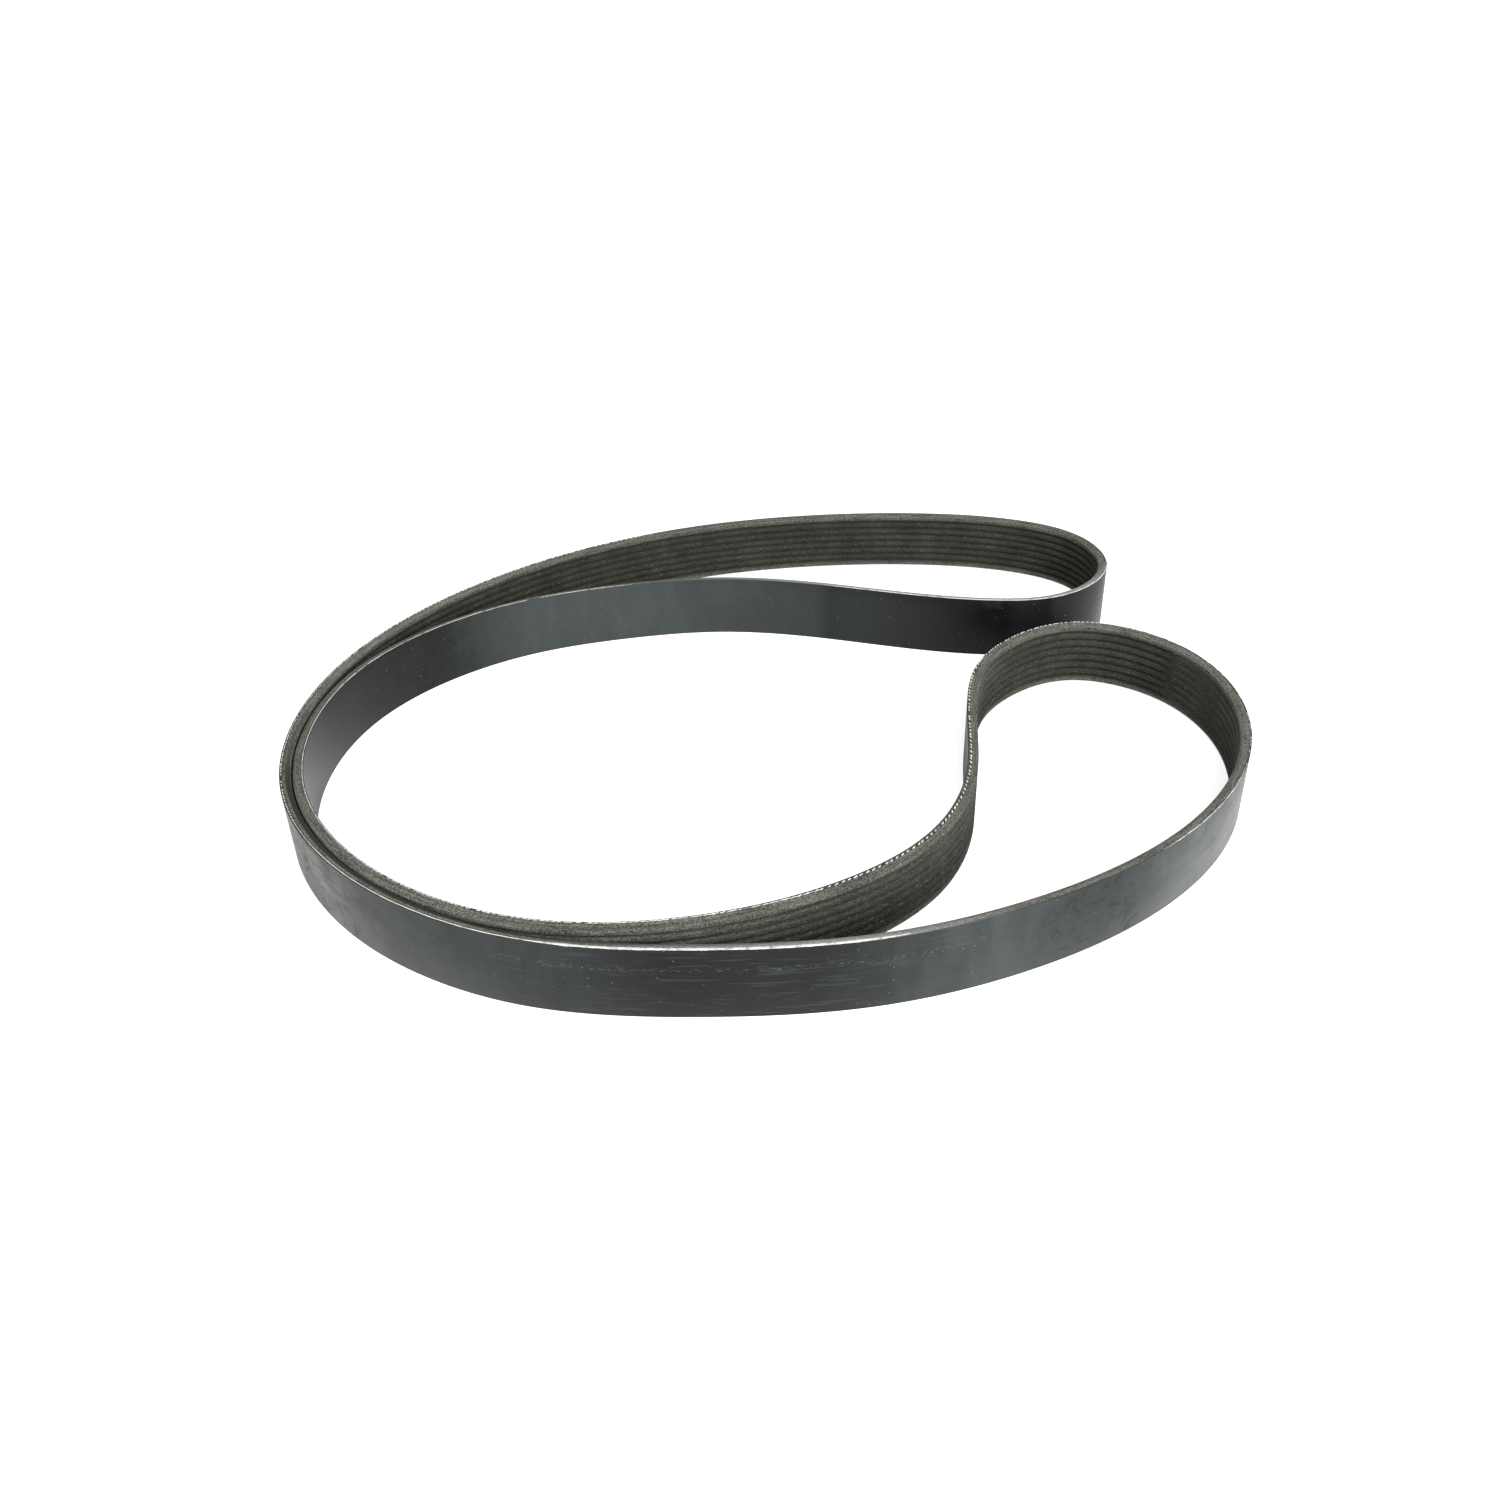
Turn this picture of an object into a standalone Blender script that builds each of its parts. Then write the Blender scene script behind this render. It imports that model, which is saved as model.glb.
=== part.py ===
"""Multi-rib drive belt, off the engine and standing on its cut edge.

The belt is one moulded loop of rubber. It has a smooth back and V ribs that
run the whole way round. Nothing holds it, so it has sprung into a crescent:
its two strands nest rib to rib on the left, and open into a lobe at each end.

The section is drawn once and swept round the lay. Everything is in metres,
+Z is up, and the origin is on the floor below the middle of the belt.
"""

import math

import bmesh
import bpy
import numpy as np

MM = 0.001

# Length of the belt round its back, and its section
BACK_LENGTH = 2092 * MM
RIB_COUNT = 8
RIB_PITCH = 3.56 * MM
RIB_HEIGHT = 2.2 * MM
GROOVE_MOUTH = 1.6 * MM
TIP_EASE = 0.3 * MM
BACK_THICKNESS = 2.0 * MM

# The loop is made of flat facets. A facet cuts this far inside the true curve,
# and where the belt is nearly straight it is no longer than the second value.
FACET_DEPTH = 0.22 * MM
LONGEST_FACET = 32 * MM

# Where the two strands nest, the gap that stays between their rib tips
NEST_GAP = 0.4 * MM

# The lay: a line up the middle of the crescent, from the back lobe round the
# left side to the front lobe. X is to the right, Y away from the viewer. The
# third value is how much further apart the two strands stand than in the nest.
# A longer or shorter belt springs into the same shape, larger or smaller.
LAY = (
    (148 * MM, 102.5 * MM, 67 * MM),
    (120 * MM, 111.5 * MM, 87.5 * MM),
    (78 * MM, 122 * MM, 88.5 * MM),
    (23 * MM, 131 * MM, 73 * MM),
    (-25 * MM, 130 * MM, 57.5 * MM),
    (-73 * MM, 117.5 * MM, 42.5 * MM),
    (-118 * MM, 95 * MM, 25 * MM),
    (-154 * MM, 63 * MM, 11.5 * MM),
    (-177.5 * MM, 25 * MM, 3.5 * MM),
    (-187.5 * MM, -23 * MM, 0.5 * MM),
    (-179.5 * MM, -73 * MM, 0.0),
    (-157.5 * MM, -111 * MM, 0.0),
    (-125 * MM, -140.5 * MM, 0.3 * MM),
    (-82 * MM, -160 * MM, 2.2 * MM),
    (-27 * MM, -164.5 * MM, 8.5 * MM),
    (28 * MM, -155 * MM, 24 * MM),
    (71 * MM, -134 * MM, 43 * MM),
    (103 * MM, -104 * MM, 69.5 * MM),
    (124 * MM, -71 * MM, 92 * MM),
    (136.5 * MM, -31 * MM, 101 * MM),
    (139 * MM, 5 * MM, 86.5 * MM),
    (139 * MM, 24 * MM, 61 * MM),
)

# How far the rib tips at the end of each lobe lie past the last place there
BACK_LOBE_REACH = 16 * MM
FRONT_LOBE_REACH = 13 * MM

# Points worked out on the true curve between two places, before it is faceted
POINTS_PER_SPAN = 24

# Rounds of scaling that bring the lay to the belt's length
LENGTH_STEPS = 4

# Corners of the swept mesh that lie closer than this are one corner
WELD_DISTANCE = 0.01 * MM

RUBBER_COLOUR = (0.036, 0.040, 0.040, 1.0)
RUBBER_ROUGHNESS = 0.55
SHARP_ANGLE = math.radians(25)

THICKNESS = BACK_THICKNESS + RIB_HEIGHT
WIDTH = RIB_COUNT * RIB_PITCH


def clear_scene():
    for old in list(bpy.data.objects):
        bpy.data.objects.remove(old, do_unlink=True)


def new_collection(name):
    collection = bpy.data.collections.new(name)
    bpy.context.scene.collection.children.link(collection)
    return collection


def rubber():
    material = bpy.data.materials.new("belt_rubber")
    material.use_nodes = True
    shader = material.node_tree.nodes["Principled BSDF"]
    shader.inputs["Base Color"].default_value = RUBBER_COLOUR
    shader.inputs["Roughness"].default_value = RUBBER_ROUGHNESS
    shader.inputs["Metallic"].default_value = 0.0
    return material


def along(points):
    """Unit directions of an open line at its points."""
    direction = np.gradient(points, axis=0)
    return direction / np.linalg.norm(direction, axis=1)[:, None]


def back_outline(lay_scale):
    """Places that the belt's smooth back goes through, once round the loop."""
    places = np.array(LAY) * lay_scale
    middle = places[:, :2]
    half_width = (NEST_GAP + FACET_DEPTH + places[:, 2]) / 2 + THICKNESS
    direction = along(middle)
    sideways = np.column_stack((-direction[:, 1], direction[:, 0])) * half_width[:, None]
    back_crown = middle[0] - direction[0] * (BACK_LOBE_REACH * lay_scale + THICKNESS)
    front_crown = middle[-1] + direction[-1] * (FRONT_LOBE_REACH * lay_scale + THICKNESS)
    left_side = middle + sideways
    right_side = middle - sideways
    return np.vstack((left_side, front_crown, right_side[::-1], back_crown))


def smooth_loop(knots):
    """Points on the closed cubic spline through the knots, even in curvature."""
    count = len(knots)
    span = np.linalg.norm(np.roll(knots, -1, axis=0) - knots, axis=1)
    system = np.zeros((count, count))
    bend = np.zeros((count, 2))
    for i in range(count):
        before = i - 1
        after = (i + 1) % count
        system[i, before] += span[before] / 6
        system[i, i] += (span[before] + span[i]) / 3
        system[i, after] += span[i] / 6
        bend[i] = (knots[after] - knots[i]) / span[i] - (knots[i] - knots[before]) / span[before]
    moment = np.linalg.solve(system, bend)
    points = []
    for i in range(count):
        after = (i + 1) % count
        start = knots[i] - moment[i] * span[i] ** 2 / 6
        end = knots[after] - moment[after] * span[i] ** 2 / 6
        for gone in np.linspace(0, span[i], POINTS_PER_SPAN, endpoint=False):
            left = span[i] - gone
            curved = (moment[i] * left ** 3 + moment[after] * gone ** 3) / 6
            points.append((curved + start * left + end * gone) / span[i])
    return np.array(points)


def loop_of_length(length):
    """The smooth loop whose back is as long as the belt's."""
    lay_scale = 1.0
    for _ in range(LENGTH_STEPS):
        loop = smooth_loop(back_outline(lay_scale))
        lay_scale *= length / np.linalg.norm(np.roll(loop, -1, axis=0) - loop, axis=1).sum()
    return smooth_loop(back_outline(lay_scale))


def faceted(points):
    """The closed curve with fewer corners, closer together where it bends."""
    closed = np.vstack((points, points[:1]))
    step = np.diff(closed, axis=0)
    length = np.linalg.norm(step, axis=1)
    onward = np.roll(step, -1, axis=0)
    cross = step[:, 0] * onward[:, 1] - step[:, 1] * onward[:, 0]
    turn = np.abs(np.arctan2(cross, (step * onward).sum(axis=1)))
    facets_per_metre = np.sqrt(turn / length / (8 * FACET_DEPTH))
    share = length * np.maximum(facets_per_metre, 1 / LONGEST_FACET)
    reached = np.concatenate(([0.0], np.cumsum(share)))
    wanted = np.linspace(0, reached[-1], math.ceil(reached[-1]), endpoint=False)
    return np.column_stack([np.interp(wanted, reached, closed[:, axis]) for axis in range(2)])


def centred(points):
    """The same outline with the middle of its box at the origin."""
    return points - (points.min(axis=0) + points.max(axis=0)) / 2


def belt_section():
    """The section as (distance in from the back, height), from the back round the ribs."""
    tip = THICKNESS
    root = BACK_THICKNESS
    half_tip = (RIB_PITCH - GROOVE_MOUTH) / 2
    ease = min(TIP_EASE, half_tip)
    half_groove = GROOVE_MOUTH / 2
    flank = math.hypot(RIB_HEIGHT, half_groove)
    ease_in = ease * RIB_HEIGHT / flank
    ease_out = ease * half_groove / flank
    points = [(0.0, 0.0)]
    for rib in range(RIB_COUNT):
        centre = (rib + 0.5) * RIB_PITCH
        points.append((root, rib * RIB_PITCH))
        points.append((tip - ease_in, centre - half_tip - ease_out))
        points.append((tip, centre - half_tip + ease))
        points.append((tip, centre + half_tip - ease))
        points.append((tip - ease_in, centre + half_tip + ease_out))
    points.append((root, WIDTH))
    points.append((0.0, WIDTH))
    return points


def closed_curve(name, points, dimensions, collection):
    data = bpy.data.curves.new(name, "CURVE")
    data.dimensions = dimensions
    data.fill_mode = "NONE" if dimensions == "2D" else "FULL"
    data.resolution_u = 1
    data.render_resolution_u = 0
    spline = data.splines.new("POLY")
    spline.points.add(len(points) - 1)
    for corner, (x, y) in zip(spline.points, points):
        corner.co = (x, y, 0.0, 1.0)
    spline.use_cyclic_u = True
    curve = bpy.data.objects.new(name, data)
    collection.objects.link(curve)
    curve.hide_render = True
    curve.display_type = "WIRE"
    return curve


def sweep(name, route, section, material, collection):
    """The section carried round the route, as a mesh with crisp rib edges."""
    route.data.twist_mode = "Z_UP"
    route.data.bevel_mode = "OBJECT"
    route.data.bevel_object = section
    depsgraph = bpy.context.evaluated_depsgraph_get()
    mesh = bpy.data.meshes.new_from_object(route.evaluated_get(depsgraph))
    route.data.bevel_object = None
    mesh.name = name
    mesh.materials.clear()
    mesh.materials.append(material)
    shape = bmesh.new()
    shape.from_mesh(mesh)
    bmesh.ops.remove_doubles(shape, verts=shape.verts, dist=WELD_DISTANCE)
    bmesh.ops.recalc_face_normals(shape, faces=shape.faces)
    shape.to_mesh(mesh)
    shape.free()
    mesh.shade_smooth()
    mesh.set_sharp_from_angle(angle=SHARP_ANGLE)
    swept = bpy.data.objects.new(name, mesh)
    swept.matrix_world = route.matrix_world
    collection.objects.link(swept)
    return swept


def main():
    clear_scene()
    belt = new_collection("drive_belt")
    guides = new_collection("guides")
    outline = centred(faceted(loop_of_length(BACK_LENGTH)))
    route = closed_curve("lay_route", outline, "3D", guides)
    section = closed_curve("belt_section", belt_section(), "2D", guides)
    sweep("drive_belt", route, section, rubber(), belt)


main()
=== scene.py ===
"""The looks of a multi-rib drive belt that stands on its cut edge.

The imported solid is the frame. The belt is made again here with round rib tips,
fine facets and its finishes, in the lay and at the size of the solid.
"""

import math
import random

import bmesh
import bpy
import numpy as np
from mathutils import Matrix, Vector


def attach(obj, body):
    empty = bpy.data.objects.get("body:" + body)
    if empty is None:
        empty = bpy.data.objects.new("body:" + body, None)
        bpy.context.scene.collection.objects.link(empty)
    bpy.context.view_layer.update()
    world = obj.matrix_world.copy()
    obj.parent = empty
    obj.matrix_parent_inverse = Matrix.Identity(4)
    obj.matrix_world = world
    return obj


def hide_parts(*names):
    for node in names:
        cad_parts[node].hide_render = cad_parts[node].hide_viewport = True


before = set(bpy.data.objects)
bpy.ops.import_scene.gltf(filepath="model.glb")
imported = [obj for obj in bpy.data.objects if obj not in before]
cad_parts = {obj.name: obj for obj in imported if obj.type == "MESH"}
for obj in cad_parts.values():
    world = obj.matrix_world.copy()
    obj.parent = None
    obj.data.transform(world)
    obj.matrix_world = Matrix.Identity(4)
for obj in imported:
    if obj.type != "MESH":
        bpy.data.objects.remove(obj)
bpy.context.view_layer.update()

# Camera. The photo looks down at the belt from just above its front, with the
# camera turned a little about its own line of sight.
MM = 0.001
CAMERA_PLACE = (-6.7 * MM, -502.9 * MM, 312.4 * MM)
CAMERA_PITCH = math.radians(32.44)
CAMERA_ROLL = math.radians(-1.86)
CAMERA_LENS = 32.9
CAMERA_SENSOR = 36.0
CAMERA_NEAREST = 10 * MM

camera_data = bpy.data.cameras.new("camera")
camera_data.lens = CAMERA_LENS
camera_data.sensor_width = CAMERA_SENSOR
camera_data.clip_start = CAMERA_NEAREST
camera = bpy.data.objects.new("camera", camera_data)
level_view = Matrix.Rotation(math.pi / 2 - CAMERA_PITCH, 4, "X")
camera_place = Matrix.Translation(CAMERA_PLACE)
camera.matrix_world = camera_place @ level_view @ Matrix.Rotation(CAMERA_ROLL, 4, "Z")
bpy.context.scene.collection.objects.link(camera)
bpy.context.scene.camera = camera


# Lay of the belt. Off the engine nothing holds it, so it springs into a
# crescent whose two strands nest on the left. These are the solid's values: a
# line up the middle of the crescent, and how much further apart the strands
# stand at each place than where they nest.
BACK_LENGTH = 2092 * MM
BACK_THICKNESS = 2.0 * MM
RIB_HEIGHT = 2.2 * MM
THICKNESS = BACK_THICKNESS + RIB_HEIGHT
NEST_GAP = 0.62 * MM
LAY = (
    (148 * MM, 102.5 * MM, 67 * MM),
    (120 * MM, 111.5 * MM, 87.5 * MM),
    (78 * MM, 122 * MM, 88.5 * MM),
    (23 * MM, 131 * MM, 73 * MM),
    (-25 * MM, 130 * MM, 57.5 * MM),
    (-73 * MM, 117.5 * MM, 42.5 * MM),
    (-118 * MM, 95 * MM, 25 * MM),
    (-154 * MM, 63 * MM, 11.5 * MM),
    (-177.5 * MM, 25 * MM, 3.5 * MM),
    (-187.5 * MM, -23 * MM, 0.5 * MM),
    (-179.5 * MM, -73 * MM, 0.0),
    (-157.5 * MM, -111 * MM, 0.0),
    (-125 * MM, -140.5 * MM, 0.3 * MM),
    (-82 * MM, -160 * MM, 2.2 * MM),
    (-27 * MM, -164.5 * MM, 8.5 * MM),
    (28 * MM, -155 * MM, 24 * MM),
    (71 * MM, -134 * MM, 43 * MM),
    (103 * MM, -104 * MM, 69.5 * MM),
    (124 * MM, -71 * MM, 92 * MM),
    (136.5 * MM, -31 * MM, 101 * MM),
    (139 * MM, 5 * MM, 86.5 * MM),
    (139 * MM, 24 * MM, 61 * MM),
)
BACK_LOBE_REACH = 16 * MM
FRONT_LOBE_REACH = 13 * MM
POINTS_PER_SPAN = 48
LENGTH_STEPS = 4


def back_outline(lay_scale):
    """Places that the smooth back goes through, once round the loop."""
    places = np.array(LAY) * lay_scale
    middle = places[:, :2]
    half_width = (NEST_GAP + places[:, 2]) / 2 + THICKNESS
    direction = np.gradient(middle, axis=0)
    direction /= np.linalg.norm(direction, axis=1)[:, None]
    sideways = np.column_stack((-direction[:, 1], direction[:, 0])) * half_width[:, None]
    back_crown = middle[0] - direction[0] * (BACK_LOBE_REACH * lay_scale + THICKNESS)
    front_crown = middle[-1] + direction[-1] * (FRONT_LOBE_REACH * lay_scale + THICKNESS)
    return np.vstack((middle + sideways, front_crown, (middle - sideways)[::-1], back_crown))


def smooth_loop(knots):
    """Points on the closed cubic spline through the knots, even in curvature."""
    count = len(knots)
    span = np.linalg.norm(np.roll(knots, -1, axis=0) - knots, axis=1)
    system = np.zeros((count, count))
    bend = np.zeros((count, 2))
    for i in range(count):
        before = i - 1
        after = (i + 1) % count
        system[i, before] += span[before] / 6
        system[i, i] += (span[before] + span[i]) / 3
        system[i, after] += span[i] / 6
        bend[i] = (knots[after] - knots[i]) / span[i] - (knots[i] - knots[before]) / span[before]
    moment = np.linalg.solve(system, bend)
    points = []
    for i in range(count):
        after = (i + 1) % count
        start = knots[i] - moment[i] * span[i] ** 2 / 6
        end = knots[after] - moment[after] * span[i] ** 2 / 6
        for gone in np.linspace(0, span[i], POINTS_PER_SPAN, endpoint=False):
            left = span[i] - gone
            curved = (moment[i] * left ** 3 + moment[after] * gone ** 3) / 6
            points.append((curved + start * left + end * gone) / span[i])
    return np.array(points)


def reached_along(points):
    """The closed line, and the length gone when each of its points is reached."""
    closed = np.vstack((points, points[:1]))
    steps = np.linalg.norm(np.diff(closed, axis=0), axis=1)
    return closed, np.concatenate(([0.0], np.cumsum(steps)))


def belt_lay():
    """The line of the belt's back, as a function of the length gone along it."""
    lay_scale = 1.0
    for _ in range(LENGTH_STEPS):
        loop = smooth_loop(back_outline(lay_scale))
        lay_scale *= BACK_LENGTH / reached_along(loop)[1][-1]
    loop = smooth_loop(back_outline(lay_scale))
    loop -= (loop.min(axis=0) + loop.max(axis=0)) / 2
    closed, reached = reached_along(loop)

    def place(gone):
        gone = gone % reached[-1]
        return Vector([np.interp(gone, reached, closed[:, axis]) for axis in range(2)] + [0.0])

    return place


back_line = belt_lay()


def lay_frame(gone):
    """Where the section stands at a length along the belt: x in from the back, z up."""
    onward = (back_line(gone + MM) - back_line(gone - MM)).normalized()
    inward = Vector((onward.y, -onward.x, 0.0))
    turned = Matrix((inward, onward, Vector((0.0, 0.0, 1.0)))).transposed().to_4x4()
    return Matrix.Translation(back_line(gone)) @ turned


# Belt. One endless band of rubber, cured round its tensile cords, then ground
# to its V ribs and slit to width. The back is smooth and the slit edges are
# bare, so both show the cut fibres of the rubber.
RIB_COUNT = 8
RIB_PITCH = 3.56 * MM
GROOVE_MOUTH = 1.6 * MM
WIDTH = RIB_COUNT * RIB_PITCH
TIP_RADIUS = 0.5 * MM
TIP_SEGMENTS = 3
ROOT_RADIUS = 0.16 * MM
BACK_CORNER_RADIUS = 0.16 * MM
CORNER_SEGMENTS = 2
CREASE_ANGLE = math.radians(35)
# The slice is carried round in arcs of equal length, joined where they meet
STATIONS = 520
ARC_STATIONS = 26
WELD_DISTANCE = 0.001 * MM
# Finishes, in the order of the belt's material slots
BACK, RIBS, EDGE = range(3)


def belt_slice():
    """Corners of one slice through the belt, rounded, in order round the slice."""
    half_tip = (RIB_PITCH - GROOVE_MOUTH) / 2
    outline = [(0.0, 0.0)]
    for rib in range(RIB_COUNT):
        middle = (rib + 0.5) * RIB_PITCH
        outline.append((BACK_THICKNESS, rib * RIB_PITCH))
        outline.append((THICKNESS, middle - half_tip))
        outline.append((THICKNESS, middle + half_tip))
    outline.append((BACK_THICKNESS, WIDTH))
    outline.append((0.0, WIDTH))
    shape = bmesh.new()
    corners = [shape.verts.new((depth, 0.0, height)) for depth, height in outline]
    shape.faces.new(corners)
    tips = [corner for corner in corners if corner.co.x > BACK_THICKNESS + RIB_HEIGHT / 2]
    roots = [corner for corner in corners[2:-2] if abs(corner.co.x - BACK_THICKNESS) < RIB_HEIGHT / 2]
    backs = [corners[0], corners[-1]]
    roundings = (
        (tips, TIP_RADIUS, TIP_SEGMENTS),
        (roots, ROOT_RADIUS, CORNER_SEGMENTS),
        (backs, BACK_CORNER_RADIUS, CORNER_SEGMENTS),
    )
    for sharp, radius, segments in roundings:
        bmesh.ops.bevel(
            shape, geom=sharp, offset=radius, offset_type="OFFSET", segments=segments,
            profile=0.5, affect="VERTICES", material=-1,
        )
    ring = [tuple(vert.co) for vert in list(shape.faces)[0].verts]
    shape.free()
    lowest = min(range(len(ring)), key=lambda i: (ring[i][0] + ring[i][2], ring[i][2]))
    return ring[lowest:] + ring[:lowest]


def joined(shapes):
    """The shapes in one mesh, with corners that meet made one."""
    whole = bpy.data.meshes.new("joined")
    shape = bmesh.new()
    for part in shapes:
        part.to_mesh(whole)
        part.free()
        shape.from_mesh(whole)
    bmesh.ops.remove_doubles(shape, verts=shape.verts, dist=WELD_DISTANCE)
    bmesh.ops.recalc_face_normals(shape, faces=shape.faces)
    bpy.data.meshes.remove(whole)
    return shape


def sweep_arc(ring, first_station, last_station):
    """The slice carried along an arc of the lay. Each corner keeps its place along, across and in."""
    shape = bmesh.new()
    along = shape.verts.layers.float.new("along")
    across = shape.verts.layers.float.new("across")
    inset = shape.verts.layers.float.new("inset")
    gone = BACK_LENGTH * first_station / STATIONS
    stand = lay_frame(gone)
    corners = [shape.verts.new(stand @ Vector(point)) for point in ring]
    round_slice = 0.0
    for i, corner in enumerate(corners):
        corner[along] = gone
        corner[across] = round_slice
        corner[inset] = ring[i][0]
        round_slice += (Vector(ring[(i + 1) % len(ring)]) - Vector(ring[i])).length
    last = [shape.edges.new((corners[i - 1], corners[i])) for i in range(len(corners))]
    for station in range(first_station + 1, last_station + 1):
        grown = bmesh.ops.extrude_edge_only(shape, edges=last)["geom"]
        fresh = [item for item in grown if isinstance(item, bmesh.types.BMVert)]
        last = [item for item in grown if isinstance(item, bmesh.types.BMEdge)]
        gone = BACK_LENGTH * station / STATIONS
        next_stand = lay_frame(gone)
        bmesh.ops.transform(shape, matrix=next_stand @ stand.inverted(), verts=fresh)
        stand = next_stand
        for vert in fresh:
            vert[along] = gone % BACK_LENGTH
    return shape, round_slice


def unroll(shape, girth):
    """A UV map with the length of the belt along U and the way round its slice along V."""
    along = shape.verts.layers.float["along"]
    across = shape.verts.layers.float["across"]
    sheet = shape.loops.layers.uv.new("unrolled")
    for face in shape.faces:
        gone = [vert[along] for vert in face.verts]
        turned = [vert[across] for vert in face.verts]
        on_end_seam = max(gone) - min(gone) > BACK_LENGTH / 2
        on_side_seam = max(turned) - min(turned) > girth / 2
        for loop in face.loops:
            u = loop.vert[along] / BACK_LENGTH
            v = loop.vert[across] / girth
            if on_end_seam and u < 0.5:
                u += 1.0
            if on_side_seam and v < 0.5:
                v += 1.0
            loop[sheet].uv = (u, v)


def part_of_slice(face, inset):
    """Which finish a face has: the smooth back, a slit edge or the ribs."""
    depth = max(vert[inset] for vert in face.verts)
    height = face.calc_center_median().z
    if depth < BACK_CORNER_RADIUS * 1.5 and BACK_CORNER_RADIUS / 2 < height < WIDTH - BACK_CORNER_RADIUS / 2:
        return BACK
    if height < RIB_PITCH / 4 or height > WIDTH - RIB_PITCH / 4:
        return EDGE
    return RIBS


ring = belt_slice()
arcs = [sweep_arc(ring, start, start + ARC_STATIONS) for start in range(0, STATIONS, ARC_STATIONS)]
band = joined([arc for arc, girth in arcs])
girth = arcs[0][1]
unroll(band, girth)
for face in band.faces:
    face.material_index = part_of_slice(face, band.verts.layers.float["inset"])
belt_mesh = bpy.data.meshes.new("belt")
band.to_mesh(belt_mesh)
band.free()
belt_mesh.shade_smooth()
belt_mesh.set_sharp_from_angle(angle=CREASE_ANGLE)
belt = bpy.data.objects.new("belt", belt_mesh)
bpy.context.scene.collection.objects.link(belt)


class Sheet:
    """A short hand for laying out shader nodes in one tree."""

    def __init__(self, tree):
        self.tree = tree

    def add(self, kind, **values):
        node = self.tree.nodes.new(kind)
        for name, value in values.items():
            setattr(node, name, value)
        return node

    def feed(self, socket, value):
        if isinstance(value, bpy.types.NodeSocket):
            self.tree.links.new(value, socket)
        elif value is not None:
            socket.default_value = value

    def math(self, operation, first, second=None):
        node = self.add("ShaderNodeMath", operation=operation)
        self.feed(node.inputs[0], first)
        self.feed(node.inputs[1], second)
        return node.outputs[0]

    def blend(self, factor, first, second):
        node = self.add("ShaderNodeMix", data_type="RGBA")
        self.feed(node.inputs["Factor"], factor)
        self.feed(node.inputs["A"], first)
        self.feed(node.inputs["B"], second)
        return node.outputs["Result"]

    def rise(self, value, start, end):
        """Nought up to the start, one from the end on, and smooth between them."""
        node = self.add("ShaderNodeMapRange", interpolation_type="SMOOTHSTEP")
        self.feed(node.inputs["Value"], value)
        self.feed(node.inputs["From Min"], start)
        self.feed(node.inputs["From Max"], end)
        return node.outputs["Result"]

    def use(self, group, **values):
        node = self.add("ShaderNodeGroup", node_tree=group)
        for name, value in values.items():
            self.feed(node.inputs[name], value)
        return node.outputs["Mask"]

    def unrolled(self):
        """The place on the belt's skin: round the loop, and round the slice."""
        sheet_map = self.add("ShaderNodeUVMap", uv_map="unrolled")
        split = self.add("ShaderNodeSeparateXYZ")
        self.feed(split.inputs[0], sheet_map.outputs["UV"])
        return split.outputs["X"], split.outputs["Y"]

    def height(self, start, end):
        """Nought below the start, one above the end, up the width of the belt."""
        place = self.add("ShaderNodeTexCoord")
        split = self.add("ShaderNodeSeparateXYZ")
        self.feed(split.inputs[0], place.outputs["Object"])
        return self.rise(split.outputs["Z"], start, end)

    def zones(self, stops):
        """A level that changes along the belt, from (metres along, level) pairs."""
        node = self.add("ShaderNodeValToRGB")
        band = node.color_ramp
        while len(band.elements) < len(stops):
            band.elements.new(1.0)
        for element, (gone, level) in zip(band.elements, stops):
            element.position = gone / BACK_LENGTH
            element.color = (level, level, level, 1.0)
        self.feed(node.inputs["Fac"], self.unrolled()[0])
        return node.outputs["Color"]

    def roughen(self, shader, height, distance, strength):
        bump = self.add("ShaderNodeBump")
        bump.inputs["Distance"].default_value = distance
        bump.inputs["Strength"].default_value = strength
        self.feed(bump.inputs["Height"], height)
        self.feed(shader.inputs["Normal"], bump.outputs["Normal"])


def effect(name, inputs):
    """An empty node group with number inputs and one output, Mask."""
    group = bpy.data.node_groups.new(name, "ShaderNodeTree")
    for title, value in inputs:
        socket = group.interface.new_socket(title, in_out="INPUT", socket_type="NodeSocketFloat")
        socket.default_value = value
    group.interface.new_socket("Mask", in_out="OUTPUT", socket_type="NodeSocketFloat")
    sheet = Sheet(group)
    return sheet, sheet.add("NodeGroupInput").outputs, sheet.add("NodeGroupOutput").inputs["Mask"]


def streaks_effect():
    """Marks drawn out along the belt. They join up where the loop closes."""
    inputs = [("Fineness", 900.0), ("Stretch", 20.0), ("Share", 0.5), ("Softness", 0.1)]
    sheet, given, mask = effect("drawn_marks", inputs)
    round_loop, round_slice = sheet.unrolled()
    angle = sheet.math("MULTIPLY", round_loop, 2 * math.pi)
    radius = sheet.math("DIVIDE", BACK_LENGTH / (2 * math.pi), given["Stretch"])
    spot = sheet.add("ShaderNodeCombineXYZ")
    sheet.feed(spot.inputs["X"], sheet.math("MULTIPLY", sheet.math("COSINE", angle), radius))
    sheet.feed(spot.inputs["Y"], sheet.math("MULTIPLY", sheet.math("SINE", angle), radius))
    sheet.feed(spot.inputs["Z"], sheet.math("MULTIPLY", round_slice, girth))
    noise = sheet.add("ShaderNodeTexNoise")
    noise.inputs["Detail"].default_value = 3.0
    sheet.feed(noise.inputs["Vector"], spot.outputs[0])
    sheet.feed(noise.inputs["Scale"], given["Fineness"])
    edge = sheet.math("SUBTRACT", 1.0, given["Share"])
    first = sheet.math("SUBTRACT", edge, given["Softness"])
    full = sheet.math("ADD", edge, given["Softness"])
    sheet.feed(mask, sheet.rise(noise.outputs["Fac"], first, full))
    return sheet.tree


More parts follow.
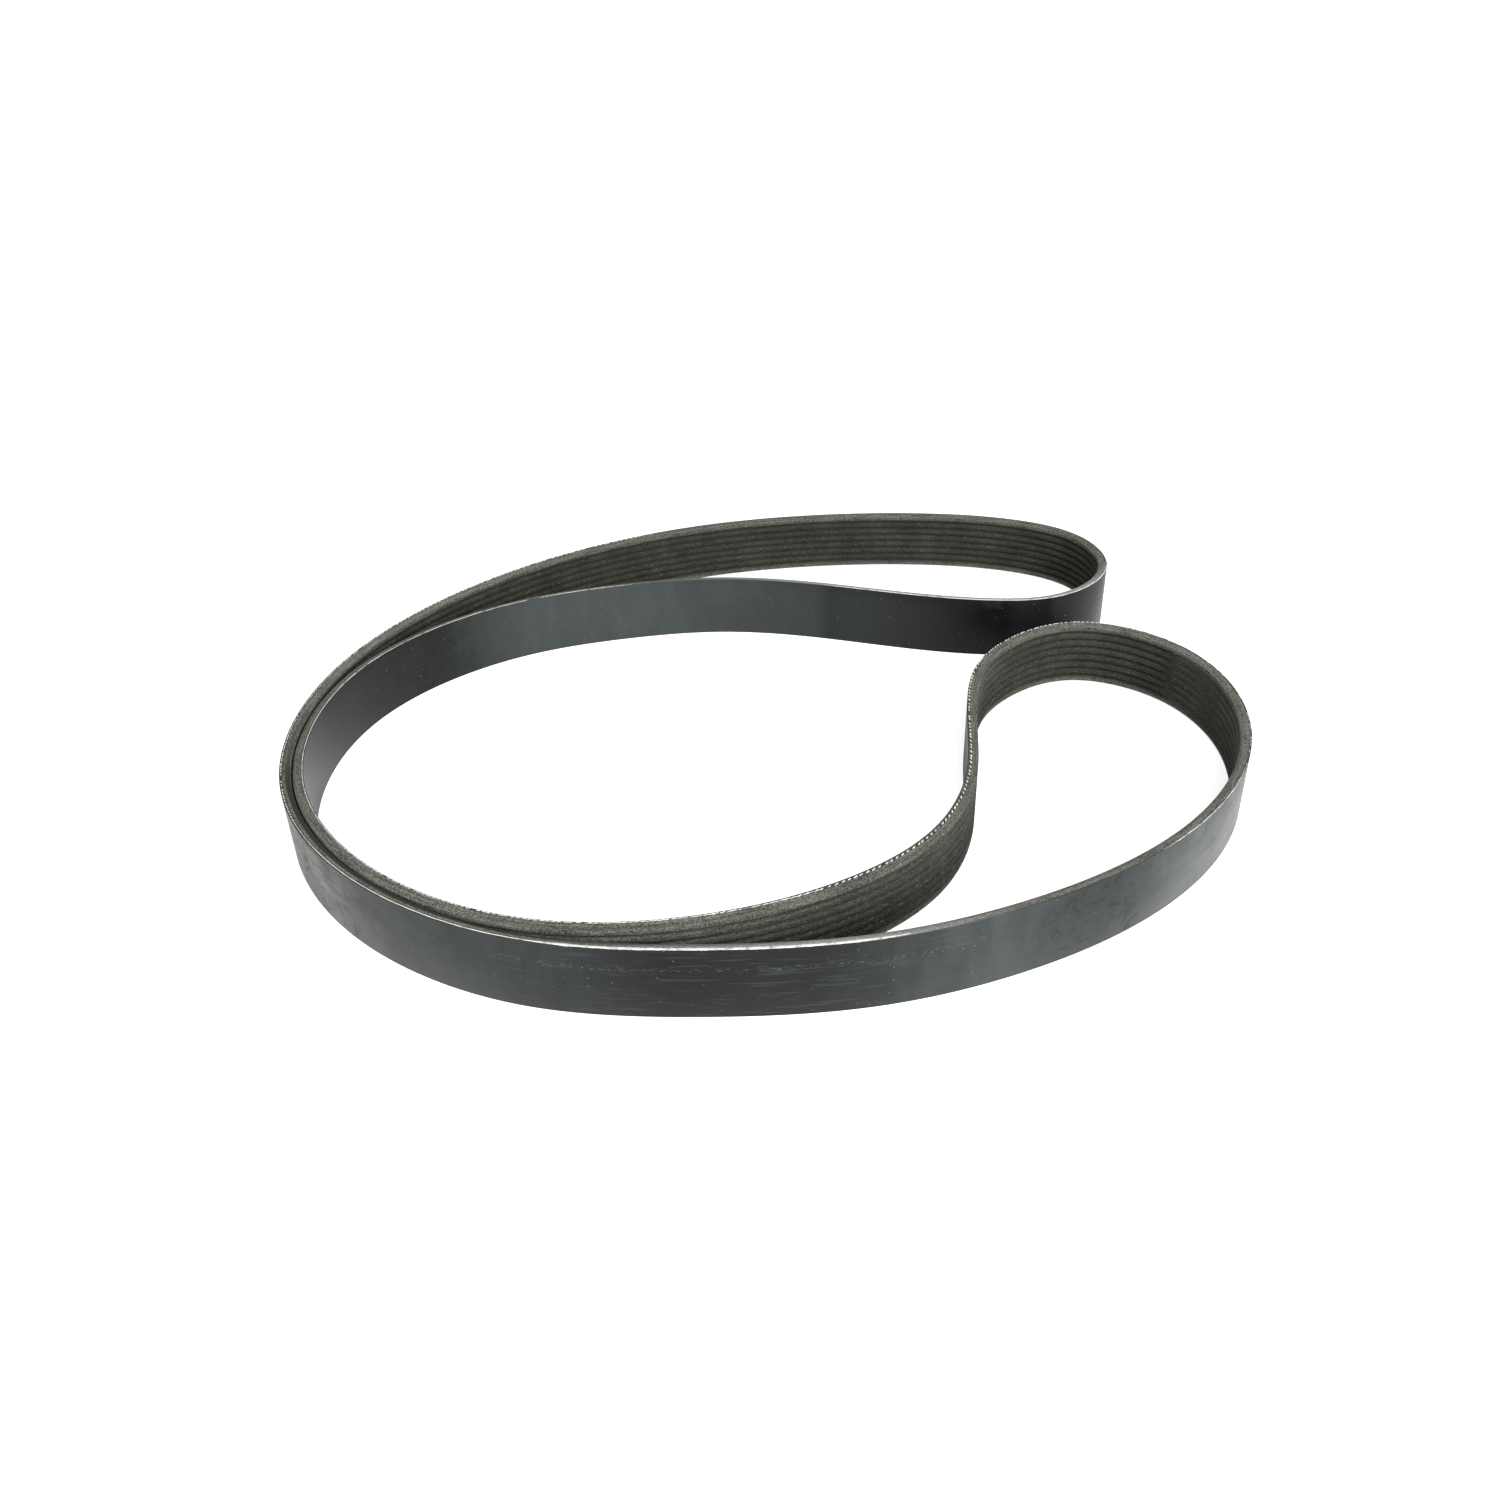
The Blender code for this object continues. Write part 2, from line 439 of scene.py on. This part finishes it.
def specks_effect():
    """Small loose grains of dust, scattered at random, some paler than others."""
    sheet, given, mask = effect("dust_specks", [("Spacing", 700.0), ("Size", 0.12), ("Share", 0.1)])
    place = sheet.add("ShaderNodeTexCoord")
    cells = sheet.add("ShaderNodeTexVoronoi")
    sheet.feed(cells.inputs["Vector"], place.outputs["Object"])
    sheet.feed(cells.inputs["Scale"], given["Spacing"])
    tint = sheet.add("ShaderNodeSeparateColor")
    sheet.feed(tint.inputs[0], cells.outputs["Color"])
    grain = sheet.math("LESS_THAN", cells.outputs["Distance"], given["Size"])
    chosen = sheet.math("LESS_THAN", tint.outputs[0], given["Share"])
    sheet.feed(mask, sheet.math("MULTIPLY", sheet.math("MULTIPLY", grain, chosen), tint.outputs[1]))
    return sheet.tree


def mottle_effect():
    """Soft uneven patches."""
    sheet, given, mask = effect("mottle", [("Fineness", 30.0), ("Roughening", 0.5), ("Swirl", 0.0)])
    place = sheet.add("ShaderNodeTexCoord")
    noise = sheet.add("ShaderNodeTexNoise")
    noise.inputs["Detail"].default_value = 4.0
    sheet.feed(noise.inputs["Vector"], place.outputs["Object"])
    sheet.feed(noise.inputs["Scale"], given["Fineness"])
    sheet.feed(noise.inputs["Roughness"], given["Roughening"])
    sheet.feed(noise.inputs["Distortion"], given["Swirl"])
    sheet.feed(mask, noise.outputs["Fac"])
    return sheet.tree


def edge_nearness_effect():
    """One at either slit edge of the belt, fading to nought a rib further in."""
    sheet, given, mask = effect("edge_nearness", [("Reach", 1.7 * MM), ("Full", 0.8 * MM)])
    place = sheet.add("ShaderNodeTexCoord")
    split = sheet.add("ShaderNodeSeparateXYZ")
    sheet.feed(split.inputs[0], place.outputs["Object"])
    from_middle = sheet.math("ABSOLUTE", sheet.math("SUBTRACT", split.outputs["Z"], WIDTH / 2))
    left = sheet.math("SUBTRACT", WIDTH / 2, from_middle)
    fade = sheet.rise(left, given["Full"], given["Reach"])
    sheet.feed(mask, sheet.math("SUBTRACT", 1.0, fade))
    return sheet.tree


streaks = streaks_effect()
specks = specks_effect()
mottle = mottle_effect()
edge_nearness = edge_nearness_effect()


def new_material(name):
    material = bpy.data.materials.new(name)
    material.use_nodes = True
    return material, Sheet(material.node_tree), material.node_tree.nodes["Principled BSDF"]


# The back's finish. Black rubber with a dull skin, bloomed grey in places along
# its length, with faint scuffs from the mould, smears and a little dust. The
# bloom's grey also paints the back's sheen and the dark of its reflections, some
# smears are painted shade, and the pale grime paints sheen as well as grime.
BACK_DARK = (0.0028, 0.0028, 0.0029, 1.0)
BACK_BLOOM_AND_REFLECTION = (0.061, 0.072, 0.071, 1.0)
BACK_TINT = (0.96, 1.0, 0.98, 1.0)
BACK_ROUGHNESS = 0.24
BACK_SPECULAR = 0.35
BACK_GRAIN = 0.02 * MM
DUST = (0.33, 0.34, 0.30, 1.0)
GRIME_AND_SHEEN = (0.42, 0.41, 0.36, 1.0)
# Levels along the back: metres gone from the end of the back lobe, and how much
# The bloom levels also paint the back's sheen, and the dark where it reflects shade
BLOOM_AND_REFLECTION_ALONG = (
    (0.000, 0.0), (0.008, 0.10), (0.021, 0.13), (0.023, 0.02), (0.045, 0.0), (0.095, 0.26),
    (0.1095, 0.16), (0.1105, 0.44), (0.205, 0.85), (0.260, 0.80), (0.297, 0.10), (0.375, 0.20),
    (0.430, 0.95), (1.095, 1.0), (1.150, 0.38), (1.195, 0.78), (1.245, 0.10), (1.300, 0.02),
    (1.360, 0.50), (1.400, 0.55), (1.435, 1.0), (1.600, 0.7), (2.030, 0.9), (2.085, 0.0),
)
# Some of the dark smears are painted shade on the back
SMEARS_AND_SHADE_ALONG = (
    (0.018, 0.0), (0.030, 0.8), (0.050, 0.0), (0.270, 0.0), (0.290, 0.8), (0.320, 0.7), (0.345, 0.0),
    (1.030, 0.0), (1.050, 0.25), (1.080, 0.25), (1.110, 0.0), (1.140, 0.7), (1.165, 0.6), (1.185, 0.0),
    (1.400, 0.0), (1.430, 0.5), (1.470, 0.7), (1.520, 0.0), (2.020, 0.0), (2.045, 0.6), (2.080, 0.0),
)
# The pale grime also paints sheen where the back catches the white floor
GRIME_AND_SHEEN_ALONG = (
    (0.580, 0.0), (0.650, 0.30), (0.780, 0.30), (0.820, 0.0), (0.960, 0.0), (1.055, 0.35),
    (1.085, 0.22), (1.135, 0.0), (1.360, 0.0), (1.400, 0.05), (1.420, 0.15), (1.445, 0.9),
    (1.485, 0.9), (1.540, 0.1), (1.600, 0.0),
)
WORN_ALONG = (
    (0.000, 0.1), (0.110, 0.1), (0.130, 0.4), (0.430, 0.4), (1.100, 0.3), (1.170, 0.5),
    (1.200, 1.0), (1.340, 1.0), (1.380, 0.5), (2.000, 0.4), (2.080, 0.1),
)
# Dashes of dust lie in one row, in the upper half of the width
DASHES_FROM = 18.5 * MM
DASHES_TO = 22 * MM
DASHES_FADE = 1.5 * MM


def back_rubber():
    material, sheet, shader = new_material("belt_back_rubber")
    # Bloom along the back, which also paints its sheen and the dark of its reflections
    bloom_and_reflection = sheet.zones(BLOOM_AND_REFLECTION_ALONG)
    patches = sheet.use(mottle, Fineness=40.0, Roughening=0.55)
    bands = sheet.use(streaks, Fineness=45.0, Stretch=0.3, Share=0.5, Softness=0.2)
    worn = sheet.zones(WORN_ALONG)
    bands = sheet.math("MULTIPLY", sheet.math("SUBTRACT", bands, 0.5), sheet.math("MULTIPLY", worn, 0.4))
    uneven = sheet.math("ADD", sheet.math("MULTIPLY", patches, 0.5), bands)
    bloom_and_reflection_level = sheet.math("MULTIPLY", bloom_and_reflection, sheet.math("ADD", uneven, 0.76))
    colour = sheet.blend(bloom_and_reflection_level, BACK_DARK, BACK_BLOOM_AND_REFLECTION)
    scuffs = sheet.use(streaks, Fineness=1100.0, Stretch=18.0, Share=0.40, Softness=0.06)
    scuffs = sheet.math("MULTIPLY", sheet.math("MULTIPLY", scuffs, worn), 0.3)
    colour = sheet.blend(scuffs, colour, BACK_BLOOM_AND_REFLECTION)
    wiped = sheet.use(streaks, Fineness=330.0, Stretch=5.0, Share=0.55, Softness=0.32)
    # Pale grime, which also paints the back's sheen
    grime_and_sheen = sheet.math("MULTIPLY", wiped, sheet.rise(patches, 0.3, 0.6))
    colour = sheet.blend(sheet.math("MULTIPLY", grime_and_sheen, sheet.zones(GRIME_AND_SHEEN_ALONG)), colour, GRIME_AND_SHEEN)
    # Dark smears, some of them painted shade
    swirls = sheet.rise(sheet.use(mottle, Fineness=130.0, Roughening=0.75, Swirl=1.2), 0.52, 0.62)
    smears_and_shade = sheet.math("MULTIPLY", swirls, sheet.zones(SMEARS_AND_SHADE_ALONG))
    colour = sheet.blend(sheet.math("MULTIPLY", smears_and_shade, 0.75), colour, BACK_DARK)
    dashes = sheet.use(streaks, Fineness=2400.0, Stretch=4.0, Share=0.40, Softness=0.04)
    below = sheet.height(DASHES_FROM, DASHES_FROM + DASHES_FADE)
    above = sheet.height(DASHES_TO - DASHES_FADE, DASHES_TO)
    row = sheet.math("SUBTRACT", below, above)
    dashes = sheet.math("MULTIPLY", sheet.math("MULTIPLY", dashes, row), sheet.rise(worn, 0.5, 1.0))
    grains = sheet.use(specks, Spacing=750.0, Size=0.13, Share=0.12)
    loose = sheet.math("MAXIMUM", sheet.math("MULTIPLY", dashes, 0.17), grains)
    sheet.feed(shader.inputs["Base Color"], sheet.blend(loose, colour, DUST))
    rough = sheet.math("ADD", BACK_ROUGHNESS, sheet.math("MULTIPLY", patches, 0.08))
    rough = sheet.math("ADD", rough, sheet.math("MULTIPLY", smears_and_shade, 0.25))
    sheet.feed(shader.inputs["Roughness"], rough)
    shader.inputs["Specular IOR Level"].default_value = BACK_SPECULAR
    shader.inputs["Specular Tint"].default_value = BACK_TINT
    sheet.roughen(shader, sheet.use(mottle, Fineness=1200.0, Roughening=0.6), BACK_GRAIN, 0.4)
    return material


# The slit edge's finish. The knife leaves the fibres bare, so it is grey and
# speckled, with the darker skin of the back as a thin line outside. Painted
# shade darkens the outer rib's flank in places.
EDGE_GREY = (0.030, 0.030, 0.026, 1.0)
EDGE_PALE = (0.33, 0.330, 0.275, 1.0)
EDGE_WHITISH = (0.44, 0.44, 0.43, 1.0)
EDGE_DARK = (0.016, 0.016, 0.013, 1.0)
SKIN_DEPTH = 0.45 * MM
EDGE_ROUGHNESS = 0.8
EDGE_SPECULAR = 0.3
EDGE_GRAIN = 0.08 * MM
# Stretches along the belt where the slit edge is paler and whiter
EDGE_WHITISH_ALONG = (
    (0.000, 0.78), (0.100, 0.76), (0.160, 0.32), (0.190, 0.0), (1.180, 0.05), (1.215, 0.45),
    (1.250, 0.65), (1.300, 0.25), (1.340, 0.0), (1.550, 0.0), (1.590, 0.15), (1.720, 0.08),
    (1.780, 0.0), (2.040, 0.0), (2.070, 0.8),
)
# Where painted shade darkens the outer rib's flank, along the belt
FLANK_SHADE_ALONG = (
    (0.540, 0.0), (0.570, 0.35), (0.700, 0.35), (0.840, 0.25), (0.900, 0.0),
    (1.180, 0.0), (1.260, 0.8), (1.330, 1.0), (1.490, 1.0), (1.550, 0.0),
)
# The last turn of cord lies in a narrow dark bed. How far in it lies is given
# as a share of the back's thickness.
CORD_BED = 0.55 * MM
CORD_BED_ALONG = (
    (0.190, 0.0), (0.250, 0.4), (0.440, 0.4), (0.500, 0.2), (0.560, 0.4), (0.620, 0.5),
    (0.660, 0.8), (0.850, 0.8), (0.880, 0.5), (1.060, 0.6), (1.120, 0.4), (1.150, 0.0),
    (1.330, 0.0), (1.350, 0.6), (1.590, 0.8), (1.760, 0.9), (1.820, 0.0),
)
CORD_INSET_ALONG = (
    (0.000, 0.20), (0.120, 0.25), (0.460, 0.25), (0.545, 0.27), (0.610, 0.33), (0.690, 0.62), (0.770, 0.62),
    (0.825, 0.30), (0.870, 0.18), (1.040, 0.24), (1.070, 0.14), (1.120, 0.14), (1.200, 0.34), (1.340, 0.34),
    (1.360, 0.28), (1.520, 0.34), (1.600, 0.42), (1.760, 0.42), (2.040, 0.20), (2.090, 0.20),
)


def fibrous_edge(sheet):
    """The colour of the bare rubber at a slit edge, and how much pale fibre shows."""
    flecks = sheet.rise(sheet.use(mottle, Fineness=1500.0, Roughening=0.85), 0.46, 0.60)
    layers = sheet.use(streaks, Fineness=1600.0, Stretch=25.0, Share=0.5, Softness=0.12)
    pale = sheet.math("ADD", sheet.math("MULTIPLY", flecks, 0.54), sheet.math("MULTIPLY", layers, 0.22))
    return sheet.blend(pale, EDGE_GREY, EDGE_PALE), flecks


def edge_rubber():
    material, sheet, shader = new_material("belt_edge_rubber")
    depth = sheet.add("ShaderNodeAttribute", attribute_name="inset").outputs["Fac"]
    # Painted shade on the outer rib's flank
    flank = sheet.rise(depth, BACK_THICKNESS, BACK_THICKNESS + RIB_HEIGHT * 0.3)
    flank_shade = sheet.math("MULTIPLY", flank, sheet.zones(FLANK_SHADE_ALONG))
    fibrous, flecks = fibrous_edge(sheet)
    colour = sheet.blend(flank_shade, fibrous, EDGE_DARK)
    cord_inset = sheet.math("MULTIPLY", sheet.zones(CORD_INSET_ALONG), BACK_THICKNESS)
    off_cord = sheet.math("ABSOLUTE", sheet.math("SUBTRACT", depth, cord_inset))
    bed = sheet.math("SUBTRACT", 1.0, sheet.rise(off_cord, CORD_BED * 0.7, CORD_BED * 1.3))
    colour = sheet.blend(sheet.math("MULTIPLY", bed, sheet.zones(CORD_BED_ALONG)), colour, EDGE_DARK)
    skin = sheet.math("SUBTRACT", 1.0, sheet.rise(depth, SKIN_DEPTH * 0.5, SKIN_DEPTH * 1.4))
    colour = sheet.blend(skin, colour, EDGE_DARK)
    # Paler, whiter stretches of the edge, speckled
    speckled = sheet.math("ADD", 0.68, sheet.math("MULTIPLY", flecks, 0.4))
    whitish = sheet.math("MULTIPLY", sheet.zones(EDGE_WHITISH_ALONG), speckled)
    colour = sheet.blend(whitish, colour, EDGE_WHITISH)
    sheet.feed(shader.inputs["Base Color"], colour)
    shader.inputs["Roughness"].default_value = EDGE_ROUGHNESS
    shader.inputs["Specular IOR Level"].default_value = EDGE_SPECULAR
    sheet.roughen(shader, sheet.use(mottle, Fineness=1500.0, Roughening=0.7), EDGE_GRAIN, 0.8)
    return material


# The ribs' finish. Ground rubber, olive grey from the short fibres in it, with
# loose pale grindings down in the grooves and, near the edge, the edge's grey.
# The grooves are also made paler as painted light against their shade, the tips
# carry painted shade, most low down, and their dust is paler towards the top as
# painted light.
RIB_TIP = (0.022, 0.0225, 0.018, 1.0)
RIB_RUBBED = (0.042, 0.042, 0.0335, 1.0)
RIB_GROOVE_LIT = (0.088, 0.087, 0.071, 1.0)
RIB_DUST_AND_FILL_LIGHT = (0.26, 0.256, 0.21, 1.0)
RIB_FILLED_AND_LIT = (0.36, 0.355, 0.30, 1.0)
RIB_SHADED = (0.007, 0.007, 0.0055, 1.0)
RIB_ROUGHNESS = 0.75
RIB_SPECULAR = 0.2
RIB_GRAIN = 0.06 * MM
# Where painted shade darkens the rib tips, and where dust lies on their tips
RIB_SHADE_ALONG = (
    (0.540, 0.0), (0.600, 0.5), (0.640, 0.7), (0.670, 1.0), (0.705, 0.5), (0.760, 0.3), (0.800, 0.0),
    (0.905, 0.0), (0.950, 0.5), (0.975, 0.3), (1.000, 0.0), (1.950, 0.0), (2.000, 0.6), (2.030, 0.0),
)
DUSTED_ALONG = (
    (0.440, 0.0), (0.550, 0.60), (0.620, 0.60), (0.650, 0.35), (0.675, 0.25), (0.720, 0.40), (0.780, 0.70),
    (0.835, 0.85), (0.860, 0.15), (0.945, 0.0), (0.990, 0.20), (1.030, 0.60), (1.050, 0.50), (1.100, 0.0),
)
# Where grindings clog the grooves and painted light fills them, and where painted
# light only lightens them
CLOGGED_AND_LIT_ALONG = (
    (0.440, 0.0), (0.550, 0.6), (0.840, 0.6), (0.880, 0.05), (0.925, 0.1), (0.960, 1.0),
    (1.030, 1.0), (1.060, 0.3), (1.640, 0.1), (1.750, 0.0),
)
GROOVES_LIT_ALONG = ((1.640, 0.0), (1.780, 0.26), (1.960, 0.26), (2.010, 0.10), (2.050, 0.0))
# A groove counts as filled, and as fully lit by painted light, between these two
# levels of clogging
FILLING_STARTS = 0.6
FILLING_ENDS = 1.0
# Heights between which the painted shade on the tips fades upwards, and the dust
# on the tips, paler upwards as painted light, thickens
RIB_SHADE_FADES = (2 * MM, 26 * MM)
DUST_AND_TOP_LIGHT_RISES = (6 * MM, WIDTH + 1 * MM)
EDGE_GREY_FULL = 0.9 * MM
EDGE_GREY_REACH = 3.8 * MM


def rib_rubber():
    material, sheet, shader = new_material("belt_rib_rubber")
    depth = sheet.add("ShaderNodeAttribute", attribute_name="inset").outputs["Fac"]
    # Grooves made paler with dust and with painted light against their shade
    clogged_and_lit = sheet.zones(CLOGGED_AND_LIT_ALONG)
    filled_and_lit = sheet.rise(clogged_and_lit, FILLING_STARTS, FILLING_ENDS)
    level = sheet.math("ADD", sheet.math("MULTIPLY", filled_and_lit, 0.55), 0.45)
    level = sheet.math("ADD", sheet.math("MULTIPLY", level, RIB_HEIGHT), BACK_THICKNESS)
    on_tip = sheet.rise(depth, BACK_THICKNESS, level)
    patches = sheet.use(mottle, Fineness=70.0, Roughening=0.7)
    tip = sheet.blend(sheet.rise(patches, 0.35, 0.7), RIB_TIP, RIB_RUBBED)
    # Painted shade on the rib tips, strongest low down
    shade_low_down = sheet.math("SUBTRACT", 1.0, sheet.math("MULTIPLY", sheet.height(*RIB_SHADE_FADES), 0.8))
    tip = sheet.blend(sheet.math("MULTIPLY", sheet.zones(RIB_SHADE_ALONG), shade_low_down), tip, RIB_SHADED)
    fibrous = fibrous_edge(sheet)[0]
    # Dust on the tips, made paler towards the top as painted light
    settled_and_lit = sheet.math("MULTIPLY", sheet.zones(DUSTED_ALONG), sheet.height(*DUST_AND_TOP_LIGHT_RISES))
    tip = sheet.blend(settled_and_lit, tip, fibrous)
    dusty_and_lit = sheet.math("MULTIPLY", sheet.rise(clogged_and_lit, 0.0, FILLING_STARTS), 0.8)
    groove = sheet.blend(dusty_and_lit, RIB_GROOVE_LIT, RIB_DUST_AND_FILL_LIGHT)
    groove = sheet.blend(filled_and_lit, groove, RIB_FILLED_AND_LIT)
    groove = sheet.blend(sheet.zones(GROOVES_LIT_ALONG), groove, RIB_DUST_AND_FILL_LIGHT)
    colour = sheet.blend(on_tip, groove, tip)
    fibres = sheet.use(streaks, Fineness=1900.0, Stretch=3.0, Share=0.40, Softness=0.08)
    colour = sheet.blend(sheet.math("MULTIPLY", fibres, 0.16), colour, RIB_DUST_AND_FILL_LIGHT)
    near_edge = sheet.use(edge_nearness, Reach=EDGE_GREY_REACH, Full=EDGE_GREY_FULL)
    near_edge = sheet.math("MULTIPLY", near_edge, 0.85)
    colour = sheet.blend(near_edge, colour, fibrous)
    grains = sheet.use(specks, Spacing=800.0, Size=0.17, Share=0.16)
    colour = sheet.blend(sheet.math("MULTIPLY", grains, 0.7), colour, DUST)
    sheet.feed(shader.inputs["Base Color"], colour)
    shader.inputs["Roughness"].default_value = RIB_ROUGHNESS
    shader.inputs["Specular IOR Level"].default_value = RIB_SPECULAR
    sheet.roughen(shader, sheet.use(mottle, Fineness=1500.0, Roughening=0.7), RIB_GRAIN, 0.8)
    return material


belt_mesh.materials.append(back_rubber())
belt_mesh.materials.append(rib_rubber())
belt_mesh.materials.append(edge_rubber())
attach(belt, "root")
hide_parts("drive_belt")


# Bare cord. The tensile cord lies wound along the belt just under its back. The
# knife has laid its last turn open for part of the way round: in places as a
# drawn pale thread, in others as slanted bits of its twist.
CORD_HEIGHT = 0.4 * MM
CORD_TAPER = 12 * MM
CORD_STRAY = 0.04 * MM
CORD_SIDES = 8
CORD_RINGS = 6
BARE_CORD = (
    # From and to in metres along the belt, one bit to the next, width, slant in
    # degrees, the length of a bit by that step, and the share of bits that shows
    (0.200, 0.320, 3.0 * MM, 0.20 * MM, 1.0, 2.2, 0.80),
    (0.315, 0.480, 3.0 * MM, 0.30 * MM, 1.0, 2.2, 1.00),
    (0.465, 0.600, 2.0 * MM, 0.36 * MM, 4.0, 1.00, 0.90),
    (0.585, 0.665, 2.0 * MM, 0.42 * MM, 10.0, 1.25, 0.97),
    (0.640, 0.850, 2.6 * MM, 0.66 * MM, 18.0, 0.72, 0.98),
    (0.832, 0.955, 2.0 * MM, 0.50 * MM, 12.0, 0.88, 0.92),
    (0.960, 1.060, 2.4 * MM, 0.34 * MM, 8.0, 0.80, 0.40),
    (1.055, 1.120, 3.0 * MM, 0.24 * MM, 1.0, 2.2, 1.00),
    (1.222, 1.345, 3.0 * MM, 1.25 * MM, 1.0, 2.2, 1.00),
    (1.330, 1.465, 3.0 * MM, 0.36 * MM, 1.0, 2.2, 1.00),
    (1.455, 1.590, 2.0 * MM, 0.44 * MM, 8.0, 0.90, 0.92),
    (1.575, 1.780, 2.4 * MM, 0.50 * MM, 8.0, 0.85, 0.90),
    (2.045, 2.200, 3.0 * MM, 0.60 * MM, 1.0, 2.2, 1.00),
)
shake = random.Random(11)


def cord_bit(shape, gone, inset, length, width, slant, bare):
    """One spindle of cord, half sunk in the upper edge."""
    size = Matrix.Diagonal((width * (0.4 + 0.6 * bare), length, CORD_HEIGHT * bare, 1.0))
    turn = Matrix.Rotation(math.radians(slant * shake.uniform(0.7, 1.3)), 4, "Z")
    place = Matrix.Translation((inset + shake.uniform(-1.0, 1.0) * CORD_STRAY, 0.0, WIDTH)) @ turn
    bmesh.ops.create_uvsphere(
        shape, u_segments=CORD_SIDES, v_segments=CORD_RINGS, radius=0.5,
        matrix=lay_frame(gone) @ place @ size,
    )


stretches = []
for start, end, step, width, slant, reach, share in BARE_CORD:
    stretch = bmesh.new()
    count = round((end - start) / step)
    for i in range(count):
        gone = start + (i + shake.uniform(0.3, 0.7)) * (end - start) / count
        bare = min(1.0, (gone - start) / CORD_TAPER, (end - gone) / CORD_TAPER)
        length = step * reach * shake.uniform(0.85, 1.15)
        inset = BACK_THICKNESS * np.interp(gone % BACK_LENGTH, *zip(*CORD_INSET_ALONG))
        if shake.random() < share:
            cord_bit(stretch, gone, inset, length, width * shake.uniform(0.8, 1.1), slant, bare)
    stretches.append(stretch)
cord_shape = joined(stretches)
cord_mesh = bpy.data.meshes.new("bare_cord")
cord_shape.to_mesh(cord_mesh)
cord_shape.free()
cord_mesh.shade_smooth()
cord = bpy.data.objects.new("bare_cord", cord_mesh)
bpy.context.scene.collection.objects.link(cord)

CORD_PALE = (0.80, 0.80, 0.75, 1.0)
CORD_SOILED = (0.20, 0.20, 0.17, 1.0)
CORD_ROUGHNESS = 0.6


def cord_yarn():
    material, sheet, shader = new_material("belt_cord_yarn")
    soil = sheet.rise(sheet.use(mottle, Fineness=260.0, Roughening=0.75), 0.48, 0.72)
    sheet.feed(shader.inputs["Base Color"], sheet.blend(soil, CORD_PALE, CORD_SOILED))
    shader.inputs["Roughness"].default_value = CORD_ROUGHNESS
    return material


cord_mesh.materials.append(cord_yarn())
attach(cord, "root")


# Stage. A pale floor that keeps the belt's shadow, under one broad soft lamp
# and an even sky.
FLOOR_SIZE = 8.0
FLOOR_COLOUR = (0.90, 0.90, 0.90, 1.0)
FLOOR_LIFT = 0.75
SKY_LEVEL = 0.28
LAMP_SIZE = 1.2
LAMP_PLACE = Vector((0.45, -1.05, 0.95))
LAMP_POWER = 30.0

floor_shape = bmesh.new()
bmesh.ops.create_grid(floor_shape, x_segments=1, y_segments=1, size=FLOOR_SIZE / 2)
floor_mesh = bpy.data.meshes.new("floor")
floor_shape.to_mesh(floor_mesh)
floor_shape.free()
floor = bpy.data.objects.new("floor", floor_mesh)
bpy.context.scene.collection.objects.link(floor)

floor_material, floor_sheet, floor_shader = new_material("floor_white")
floor_shader.inputs["Base Color"].default_value = FLOOR_COLOUR
floor_shader.inputs["Roughness"].default_value = 1.0
floor_shader.inputs["Specular IOR Level"].default_value = 0.0
floor_shader.inputs["Emission Color"].default_value = (1.0, 1.0, 1.0, 1.0)
seen = floor_sheet.add("ShaderNodeLightPath")
lift = floor_sheet.math("MULTIPLY", seen.outputs["Is Camera Ray"], FLOOR_LIFT)
floor_sheet.feed(floor_shader.inputs["Emission Strength"], lift)
floor_mesh.materials.append(floor_material)

world = bpy.data.worlds.new("sky")
world.use_nodes = True
bpy.context.scene.world = world
sky = Sheet(world.node_tree)
backdrop = world.node_tree.nodes["Background"]
backdrop.inputs["Color"].default_value = (1.0, 1.0, 1.0, 1.0)
path = sky.add("ShaderNodeLightPath")
straight = sky.math("MAXIMUM", path.outputs["Is Camera Ray"], path.outputs["Is Glossy Ray"])
sky.feed(backdrop.inputs["Strength"], sky.math("MAXIMUM", straight, SKY_LEVEL))

lamp_data = bpy.data.lights.new("soft_lamp", "AREA")
lamp_data.shape = "SQUARE"
lamp_data.size = LAMP_SIZE
lamp_data.energy = LAMP_POWER
lamp = bpy.data.objects.new("soft_lamp", lamp_data)
lamp.location = LAMP_PLACE
lamp.rotation_euler = (-LAMP_PLACE).to_track_quat("-Z", "Y").to_euler()
bpy.context.scene.collection.objects.link(lamp)

bpy.context.scene.view_settings.view_transform = "Standard"
